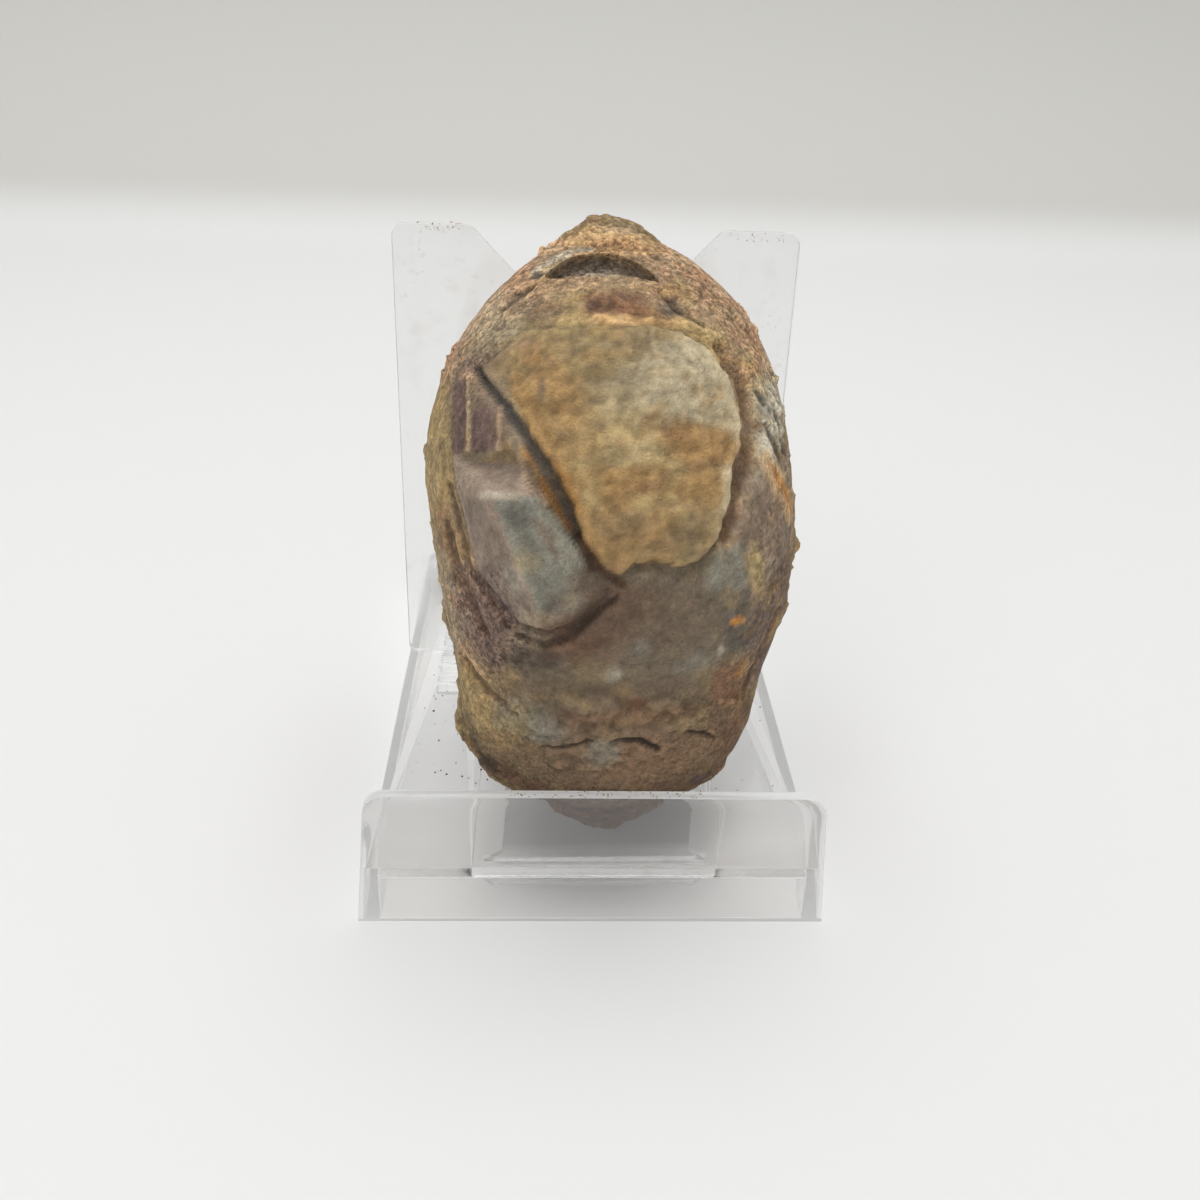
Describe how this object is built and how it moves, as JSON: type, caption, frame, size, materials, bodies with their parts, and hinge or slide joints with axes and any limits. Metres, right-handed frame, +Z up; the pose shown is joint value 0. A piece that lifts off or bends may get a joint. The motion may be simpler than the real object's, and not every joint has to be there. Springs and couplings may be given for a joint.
{
  "type": "fossil nodule on display stand",
  "caption": "Rusty-brown fossil nodule standing on its narrow end in a clear plastic display stand with a front lip, a tray base and a V-notched back plate.",
  "frame": {"origin": "middle of the object's box, on the surface it stands on", "axes": "+X to the right seen from the front lip, +Y from the lip to the back plate, +Z up"},
  "size_m": [0.0838, 0.1338, 0.1135],
  "materials": {
    "rusty_stone": "weathered ironstone nodule: ochre, olive and pale grey-yellow faces, orange streaks, dull and granular",
    "clear_base": "clear moulded plastic, glossy, lightly scuffed and dusty",
    "clear_back": "clear moulded plastic, glossy, scuffed on its edges"
  },
  "bodies": {
    "root": {"fossil_nodule": "rusty_stone", "stand_base": "clear_base", "stand_back": "clear_back"}
  },
  "joints": []
}
